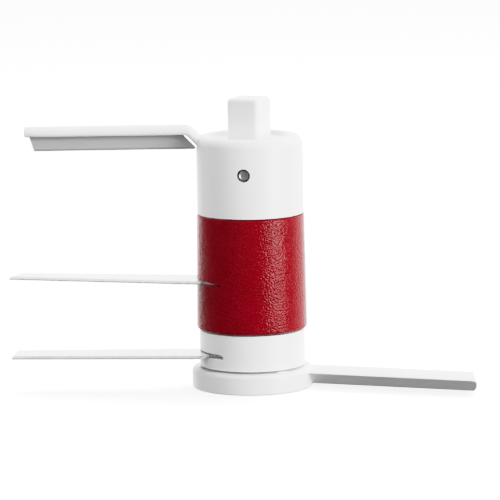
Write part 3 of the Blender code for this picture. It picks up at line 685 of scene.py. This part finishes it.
def arm_outline(grow):
    """The domed cross-section: (across, up), with softly rounded lower edges."""
    half = ARM_WIDTH / 2 + grow
    foot_r = ARM_FOOT_R + grow
    outline = rounded(
        [(half, -grow, foot_r), (half, ARM_LIP, 0.0), (-half, ARM_LIP, 0.0), (-half, -grow, foot_r)]
    )
    corner = (len(outline) - 2) // 2
    steps = 28
    dome = []
    for i in range(1, steps):
        angle = math.pi * i / steps
        dome.append((half * math.cos(angle), ARM_LIP + (ARM_HEIGHT - ARM_LIP + grow) * math.sin(angle)))
    return outline[: corner + 1] + dome + outline[corner + 1 :]


def arm_row(outline, station, shrink=1.0, lift=0.0):
    x, z, tilt = station
    points = [(u * shrink, lift + v * shrink) for u, v in outline]
    return [(x + v * math.sin(tilt), u, z + v * math.cos(tilt)) for u, v in points]


def arm_loft(grow, reach):
    outline = arm_outline(grow)
    stations = arm_path(reach)
    if grow:
        stations = stations[4:]
    rows = [arm_row(outline, station) for station in stations]
    if not grow:
        steps = 6
        tip = []
        for i in range(steps):
            angle = math.pi / 2 * (1 - i / steps)
            shrink = 1.0 - 0.28 * (1 - math.cos(angle))
            x = ARM_TIP_X - ARM_NOSE * math.sin(angle)
            tip.append(arm_row(outline, (x, ARM_LOW, 0.0), shrink, 0.5 * ARM_HEIGHT * (1 - shrink)))
        rows = tip + rows[1:]
    return skin(rows)


def arm_lock_point():
    x, z, tilt = arm_path(ARM_LOCK_ALONG)[-1]
    half = ARM_HEIGHT / 2
    return Vector((x + half * math.sin(tilt), 0.0, z + half * math.cos(tilt)))


def arm_spine(white):
    obj = thing("arm_spine", arm_loft(0.0, ARM_NECK))
    left, right = UPRIGHT_LEFT[0] - SEAM, ARM_BEND_X - 0.6 * MM
    half = upright_high.y + SEAM
    groove = [(left, -half), (right, -half), (right, half), (left, half)]
    carve(obj, prism(groove, ARM_LOW - MM, GROOVE_TOP))
    for x in BLADE_PIN_X:
        start, end = (x, BLADE_PIN_ENDS[0] - SEAM, BLADE_PIN_Z), (x, ARM_WIDTH, BLADE_PIN_Z)
        carve(obj, plain_rod(start, end, BLADE_PIN_R + SEAM))
    point = arm_lock_point()
    start = point + Vector((0.0, -ARM_LOCK_REACH - SEAM, 0.0))
    carve(obj, plain_rod(start, point + Vector((0.0, ARM_WIDTH, 0.0)), ARM_LOCK_R + SEAM))
    return finished(obj, white, "spindle", "white_plastic", "top_arm")


def arm_dowel(steel):
    point = arm_lock_point()
    back = math.sqrt(BODY_R**2 - point.x**2) - 0.6 * MM
    start, end = point + Vector((0.0, -ARM_LOCK_REACH, 0.0)), point + Vector((0.0, back, 0.0))
    profile = [(0.4 * ARM_LOCK_R, 0.0), (0.8 * ARM_LOCK_R, 0.06 * MM), (ARM_LOCK_R, 0.25 * MM)]
    obj = thing("arm_dowel", rod(start, end, profile))
    return finished(obj, steel, "spindle", "fastener_steel", "arm_lock_pin")


def blade_dowels(steel):
    front, back = BLADE_PIN_ENDS
    profile = [(0.4 * BLADE_PIN_R, 0.0), (0.8 * BLADE_PIN_R, 0.04 * MM), (BLADE_PIN_R, 0.15 * MM)]
    for number, x in enumerate(BLADE_PIN_X, 1):
        bm = rod((x, front, BLADE_PIN_Z), (x, back, BLADE_PIN_Z), profile)
        obj = thing(f"blade_dowel_{number}", bm)
        finished(obj, steel, "spindle", "fastener_steel", f"top_blade_pin_{number}")


def upright_blade(steel):
    """The plate under the arm, its lower edge ground on the front side only."""
    rise, depth = UPRIGHT_BEVEL
    edge_z = upright_low.z
    neck_x = ARM_BEND_X - 0.4 * MM
    corner_z = edge_z + rise + 0.1 * MM
    corner_x = neck_x + (ARM_LOW - corner_z) / math.tan(ARM_BEND)
    left_top, left_low = UPRIGHT_LEFT
    groove_right = ARM_BEND_X - 0.6 * MM - GAP
    top = GROOVE_TOP - GAP

    def outline(y, low, inset=0.0):
        fall = (ARM_LOW - low) / (ARM_LOW - edge_z)
        left = left_top + (left_low - left_top) * fall
        corners = [
            (left + inset, low + inset),
            (corner_x - inset, low + inset),
            (corner_x - inset, corner_z - inset),
            (neck_x - inset, ARM_LOW - 0.05 * MM),
            (groove_right - inset, ARM_LOW),
            (groove_right - inset, top - inset),
            (left_top + inset, top - inset),
            (left_top + inset, ARM_LOW),
        ]
        return [(x, y, z) for x, z in corners]

    half = upright_high.y
    edge = 0.05 * MM
    rows = [
        outline(-half, edge_z + rise, edge),
        outline(-half + edge, edge_z + rise - edge),
        outline(-half + depth, edge_z + edge),
        outline(-half + depth + edge, edge_z),
        outline(half - edge, edge_z),
        outline(half, edge_z, edge),
    ]
    obj = thing("upright_blade", skin(rows))
    for x in BLADE_PIN_X:
        carve(obj, plain_rod((x, -MM, BLADE_PIN_Z), (x, MM, BLADE_PIN_Z), BLADE_PIN_R + SEAM))
    return finished(obj, steel, "spindle", "blade_steel", "top_blade", sharp=12.0)


# ---- flat blades, sleeve and collar ----


def flat_blade(outline, low):
    """A flat plate, its near edge ground from above with a fine second bevel at the cut."""
    count = len(outline)
    edge = 0.06 * MM

    def level(near, others):
        return shifted(outline, [-near] + [-others] * (count - 1))

    high = low + BLADE_T
    slope = (BLADE_T - BLADE_LAND) / BLADE_BEVEL_W
    cut = 0.25 * MM
    levels = (
        (level(edge, edge), low),
        (level(0.0, 0.0), low + edge),
        (level(0.0, 0.0), low + BLADE_LAND - cut * 0.25),
        (level(cut, 0.0), low + BLADE_LAND + cut * slope),
        (level(BLADE_BEVEL_W, 0.0), high - edge * 0.5),
        (level(BLADE_BEVEL_W + edge, edge), high),
    )
    return skin([[(x, y, z) for x, y in points] for points, z in levels])


def slot_tool(outline, low, clear, roof_w):
    """A slot for the blade. Its roof falls to the height of a thin edge at the near side."""
    roof = shifted(outline, [-roof_w] + [0.0] * (len(outline) - 1))
    levels = ((outline, low - clear), (outline, low + BLADE_LAND), (roof, low + BLADE_T + clear))
    return skin([[(x, y, z) for x, y in points] for points, z in levels])


def sleeve_blade(steel):
    low, high = middle_low.z, middle_high.z
    obj = thing("sleeve_blade", flat_blade(MIDDLE_OUTLINE, low))
    carve(obj, turned([(0.0, high), (EYE_R, high), (EYE_R, low), (0.0, low)]), "UNION")
    carve(obj, plain_rod((0, 0, low - MM), (0, 0, high + MM), EYE_HOLE_R, ROUND))
    for x, y in MIDDLE_SCREWS:
        carve(obj, plain_rod((x, y, low - MM), (x, y, high + MM), SCREW_HOLE_R))
    return finished(obj, steel, "sleeve", "blade_steel", "middle_blade", sharp=8.0)


def collar_blade(steel):
    low, high = lower_low.z, lower_high.z
    obj = thing("collar_blade", flat_blade(LOWER_OUTLINE, low))
    for x, y in LOWER_SCREWS:
        carve(obj, plain_rod((x, y, low - MM), (x, y, high + MM), SCREW_HOLE_R))
    return finished(obj, steel, "collar", "blade_steel", "lower_blade", sharp=8.0)


def sleeve_shell(red):
    profile = rounded(
        [
            (SLEEVE_BORE_R, SLEEVE_LOW, EDGE),
            (SLEEVE_LOW_R, SLEEVE_LOW, 1.0 * MM),
            (SLEEVE_TOP_R, SLEEVE_TOP, 0.4 * MM),
            (SLEEVE_BORE_R, SLEEVE_TOP, EDGE),
        ]
    )
    obj = thing("sleeve_shell", turned(profile))
    carve(obj, slot_tool(MIDDLE_SLOT, middle_low.z, MIDDLE_CLEAR, MIDDLE_ROOF_W))
    return finished(obj, red, "sleeve", "red_plastic", "red_sleeve")


def collar_shell(white):
    profile = rounded(
        [
            (COLLAR_COUNTERBORE_R, COLLAR_LOW, FINE_EDGE),
            (COLLAR_R, COLLAR_LOW, SOFT_EDGE),
            (COLLAR_R, COLLAR_TOP, SOFT_EDGE),
            (COLLAR_RIM_R, COLLAR_TOP, EDGE),
            (COLLAR_RIM_R, COLLAR_FLOOR, SOFT_EDGE),
            (COLLAR_HUB_R, COLLAR_FLOOR, SOFT_EDGE),
            (COLLAR_HUB_R, COLLAR_HUB_TOP, EDGE),
            (BORE_R, COLLAR_HUB_TOP, EDGE),
            (BORE_R, COLLAR_COUNTERBORE_TOP, FINE_EDGE),
            (COLLAR_COUNTERBORE_R, COLLAR_COUNTERBORE_TOP, FINE_EDGE),
        ]
    )
    obj = thing("collar_shell", turned(profile))
    carve(obj, slot_tool(LOWER_SLOT, lower_low.z, LOWER_CLEAR, LOWER_ROOF_W))
    for x, y in LOWER_SCREWS:
        carve(obj, plain_rod((x, y, COLLAR_LOW - MM), (x, y, LOWER_SCREW_TOP), SCREW_HOLE_R))
        carve(obj, plain_rod((x, y, COLLAR_LOW - MM), (x, y, SCREW_HEAD_TOP), SCREW_HEAD_R))
    return finished(obj, white, "collar", "white_plastic", "lower_collar")


# ---- base ring with its lever, and the foot ----


def lever_point(along, across, height):
    """A point by its distance along and behind the lever's centre line."""
    c, s = math.cos(LEVER_TURN), math.sin(LEVER_TURN)
    behind = LEVER_OFFSET + across
    return (along * c - behind * s, along * s + behind * c, height)


def lever_row(along):
    """Flat-keeled hull below, slightly crowned above."""
    hull = [
        (-LEVER_HALF_W, LEVER_EDGE_Z),
        (-LEVER_HALF_W * 0.45, LEVER_LOW + 0.75 * MM),
        (-LEVER_KEEL_W * 1.6, LEVER_LOW + 0.2 * MM),
        (-LEVER_KEEL_W, LEVER_LOW),
    ]
    mirrored = [(-u, v) for u, v in reversed(hull)]
    steps = 20
    crown = []
    for i in range(1, steps):
        t = 1.0 - 2.0 * i / steps
        crown.append((t * LEVER_HALF_W, LEVER_EDGE_Z + LEVER_CROWN * (1.0 - t * t)))
    return [lever_point(along, u, v) for u, v in hull + mirrored + crown]


def lever_plan():
    """The lever's outline from above: straight sides, and an end square to X with round corners."""
    side = LEVER_HALF_W - LEVER_TRIM
    root = LEVER_ROOT - MM
    slope = math.tan(LEVER_TURN)
    ends = []
    for across, radius in zip((-side, side), LEVER_CORNER_R):
        x, y, _ = lever_point(0.0, across, 0.0)
        ends.append((LEVER_END_X, y + (LEVER_END_X - x) * slope, radius))
    roots = [(*lever_point(root, across, 0.0)[:2], 0.0) for across in (side, -side)]
    return rounded(roots + ends)


def lever_nose():
    """The lever's side view as a solid across its whole width, with the rounded end."""
    low, high = LEVER_LOW - MM, RING_TOP
    upper, lower = LEVER_EDGE_Z + LEVER_CROWN, LEVER_LOW
    middle, half = (upper + lower) / 2, (upper - lower) / 2
    start = LEVER_END_X - LEVER_NOSE
    side = [(0.0, high), (0.0, low), (start, low)]
    steps = 24
    for i in range(steps + 1):
        angle = math.radians(160.0 * i / steps - 80.0)
        side.append((start + LEVER_NOSE * math.cos(angle), middle + half * math.sin(angle)))
    side.append((start, high))
    reach = LEVER_END_X
    return skin([[(x, y, z) for x, z in side] for y in (-reach, reach)])


def ring_and_lever(white):
    profile = rounded(
        [
            (RING_BORE_R, 0.0, EDGE),
            (RING_R, 0.0, 0.4 * MM),
            (RING_R, RING_TOP, RING_FILLET),
            (RING_HUB_R, RING_TOP, EDGE),
            (RING_HUB_R, RING_HUB_TOP, EDGE),
            (BORE_R, RING_HUB_TOP, EDGE),
            (BORE_R, RING_WEB_LOW, FINE_EDGE),
            (RING_BORE_R, RING_WEB_LOW, FINE_EDGE),
        ]
    )
    obj = thing("ring_and_lever", turned(profile))
    reach = (LEVER_END_X + 6.0 * MM) / math.cos(LEVER_TURN)
    bar = thing("lever_bar", skin([lever_row(LEVER_ROOT), lever_row(reach)]))
    carve(bar, prism(lever_plan(), -MM, RING_TOP), "INTERSECT")
    carve(bar, lever_nose(), "INTERSECT")
    bm = bmesh.new()
    bm.from_mesh(bar.data)
    bpy.data.objects.remove(bar, do_unlink=True)
    carve(obj, bm, "UNION")
    inner, outer = PAD_REACH
    half = PAD_WIDTH / 2
    corners = ((inner, -half), (outer, -half), (outer, half), (inner, half))
    outline = rounded([(x, y, PAD_CORNER_R) for x, y in corners])
    for degrees in PAD_TURNS:
        pad = prism(outline, RING_TOP - MM, RING_TOP + PAD_RISE)
        turn = Matrix.Rotation(math.radians(degrees), 3, "Z")
        bmesh.ops.rotate(pad, verts=pad.verts, matrix=turn)
        carve(obj, pad, "UNION")
    soften(obj, RING_VOXEL, 5)
    return finished(obj, white, "lever", "white_plastic", "base_lever", sharp=80.0)


def foot(white):
    profile = rounded(
        [
            (FOOT_RECESS_R, 0.0, EDGE),
            (FOOT_R, 0.0, SOFT_EDGE),
            (FOOT_R, FOOT_TOP, EDGE),
            (FOOT_SCREW_HOLE_R, FOOT_TOP, FINE_EDGE),
            (FOOT_SCREW_HOLE_R, FOOT_RECESS_TOP, FINE_EDGE),
            (FOOT_RECESS_R, FOOT_RECESS_TOP, EDGE),
        ]
    )
    finished(thing("foot_disc", turned(profile)), white, "spindle", "white_plastic", "foot_flange")
    profile = rounded(
        [
            (0.0, PLUG_TOP, 0.0),
            (PLUG_R, PLUG_TOP, FINE_EDGE),
            (PLUG_R, 0.0, EDGE),
            (0.0, 0.0, 0.0),
        ]
    )
    finished(thing("foot_plug", turned(profile)), white, "spindle", "white_plastic", "base_plug")


def dress_inner_nodes(looks):
    """Gives the CAD nodes that stay their materials."""
    for names, mat in looks:
        for name in names:
            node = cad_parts[name]
            node.data.materials.clear()
            node.data.materials.append(mat)


# ---- studio ----


def camera():
    data = bpy.data.cameras.new("camera")
    data.lens = data.sensor_width * CAMERA_DISTANCE / VIEW_WIDTH
    data.clip_start, data.clip_end = 0.05, 20.0
    obj = bpy.data.objects.new("camera", data)
    bpy.context.collection.objects.link(obj)
    back = Vector((0.0, -math.cos(CAMERA_ELEVATION), math.sin(CAMERA_ELEVATION)))
    obj.location = AIM + back * CAMERA_DISTANCE
    obj.rotation_mode = "QUATERNION"
    obj.rotation_quaternion = (-back).to_track_quat("-Z", "Y") @ Quaternion((0.0, 0.0, 1.0), CAMERA_ROLL)
    bpy.context.scene.camera = obj


def softbox(name, azimuth, elevation, size, power, mirrored=True):
    """An area light that faces the object. Azimuth 0 is the camera's side, 90 the lever's."""
    data = bpy.data.lights.new(name, "AREA")
    data.shape = "RECTANGLE"
    data.size, data.size_y = size
    data.energy = power
    obj = bpy.data.objects.new(name, data)
    bpy.context.collection.objects.link(obj)
    a, e = math.radians(azimuth), math.radians(elevation)
    away = Vector((math.sin(a) * math.cos(e), -math.cos(a) * math.cos(e), math.sin(e)))
    obj.location = AIM + away * LIGHT_DISTANCE
    obj.rotation_mode = "QUATERNION"
    obj.rotation_quaternion = away.to_track_quat("Z", "Y")
    obj.visible_glossy = mirrored


def studio_world():
    """A white backdrop behind the object, and a dim room in front of it."""
    world = bpy.data.worlds.new("studio")
    bpy.context.scene.world = world
    world.use_nodes = True
    tree = world.node_tree
    new, link = tree.nodes.new, tree.links.new
    background = tree.nodes["Background"]
    background.inputs["Color"].default_value = (1.0, 1.0, 1.0, 1.0)
    parts = new("ShaderNodeSeparateXYZ")
    link(new("ShaderNodeTexCoord").outputs["Generated"], parts.inputs[0])

    def ranged(socket, start, end, low, high):
        node = new("ShaderNodeMapRange")
        node.interpolation_type = "SMOOTHSTEP"
        for key, value in (("From Min", start), ("From Max", end), ("To Min", low), ("To Max", high)):
            node.inputs[key].default_value = value
        link(socket, node.inputs["Value"])
        return node.outputs["Result"]

    def maths(operation, a, b):
        node = new("ShaderNodeMath")
        node.operation = operation
        for socket, value in zip(node.inputs, (a, b)):
            if isinstance(value, float):
                socket.default_value = value
            else:
                link(value, socket)
        return node.outputs[0]

    behind = ranged(parts.outputs["Y"], -0.2, 0.35, WORLD_FRONT, WORLD_BACK)
    above = ranged(parts.outputs["Z"], -0.7, 0.0, WORLD_BELOW, 1.0)
    soft = maths("MULTIPLY", behind, above)
    # Mirror-like reflections see a narrower backdrop that dims upwards and stops earlier on the left.
    leaning = maths("ADD", parts.outputs["Y"], maths("MULTIPLY", parts.outputs["X"], 0.22))
    screen = ranged(leaning, 0.36, 0.74, 0.0, MIRROR_BACK)
    dimming = ranged(parts.outputs["Z"], 0.15, 0.75, 1.0, MIRROR_HIGH)
    sharp = maths("MULTIPLY", maths("MULTIPLY", screen, dimming), above)
    path = new("ShaderNodeLightPath")
    glossy = path.outputs["Is Glossy Ray"]
    rough = maths("MULTIPLY", soft, maths("SUBTRACT", 1.0, glossy))
    light = maths("ADD", rough, maths("MULTIPLY", sharp, glossy))
    backdrop = maths("MULTIPLY", path.outputs["Is Camera Ray"], BACKDROP)
    link(maths("ADD", light, backdrop), background.inputs["Strength"])


def floor():
    """A pale floor that fades into the backdrop. It takes shadows, and lights nothing itself."""
    reach = FLOOR_REACH
    corners = [(-reach, -reach), (reach, -reach), (reach, reach), (-reach, reach)]
    bm = bmesh.new()
    bm.faces.new([bm.verts.new((x, y, FLOOR_Z)) for x, y in corners])
    obj = thing("floor", bm)
    n = Nodes("floor_look")
    tone = n.spread(n.noise(n.place(), 4.0), 0.0, 1.0)
    n.shade(Base_Color=n.blend(tone, (0.90, 0.90, 0.90), (0.92, 0.92, 0.92)), Roughness=0.9)
    n.shade(Emission_Color=(1.0, 1.0, 1.0, 1.0), Emission_Strength=FLOOR_GLOW)
    obj.data.materials.append(n.material)
    obj.visible_diffuse = False
    obj.visible_glossy = False
    obj.visible_shadow = False


def exposure_curve():
    """Highlights roll off gently, as they do in a bright product shot."""
    view = bpy.context.scene.view_settings
    view.view_transform = "Standard"
    view.use_curve_mapping = True
    mapping = view.curve_mapping
    mapping.white_level = (CURVE_WHITE, CURVE_WHITE, CURVE_WHITE)
    curve = mapping.curves[3]
    curve.points[0].location = (0.0, 0.0)
    curve.points[-1].location = (1.0, 1.0)
    for level, shown in CURVE_POINTS:
        curve.points.new(level / CURVE_WHITE, shown)
    mapping.update()


def build():
    white, red = white_plastic(), red_plastic()
    natural, wire, washers = natural_plastic(), spring_wire(), nylon()
    pins = turned_steel()
    upright = brushed_steel("upright_steel_look", (0.51, 0.51, 0.51), 0.0, (0.42, 0.52), 0.3)
    flat = {"colour": (0.80, 0.80, 0.81), "roughness": (0.22, 0.32), "metallic": 0.6}
    middle = brushed_steel("middle_steel_look", turn=math.radians(14.5), **flat)
    lower = brushed_steel("lower_steel_look", turn=math.radians(4.1), **flat)

    spindle_body(white)
    cap_shell(white)
    cross_pin(pins)
    arm_spine(white)
    arm_dowel(pins)
    blade_dowels(pins)
    upright_blade(upright)
    sleeve_shell(red)
    sleeve_blade(middle)
    collar_shell(white)
    collar_blade(lower)
    ring_and_lever(white)
    foot(white)

    screws = [f"{blade}_blade_screw_{number}" for blade in ("middle", "lower") for number in (1, 2)]
    dress_inner_nodes(
        (
            (["sleeve_hub_lower", "sleeve_hub_upper"], natural),
            (["stack_spring"], wire),
            (["spring_seat_washer", "spring_plate", "retaining_screw", *screws], pins),
            (["thrust_washer_upper", "thrust_washer_middle", "thrust_washer_lower"], washers),
        )
    )

    camera()
    softbox("key", 55.0, 10.0, (0.40, 0.76), 11.8)
    softbox("fill", -58.0, 20.0, (0.5, 0.7), 1.8, mirrored=False)
    softbox("front", -16.0, 18.0, (0.5, 0.5), 3.1, mirrored=False)
    softbox("top", 150.0, 62.0, (0.8, 0.8), 4.5, mirrored=False)
    studio_world()
    floor()
    exposure_curve()


build()
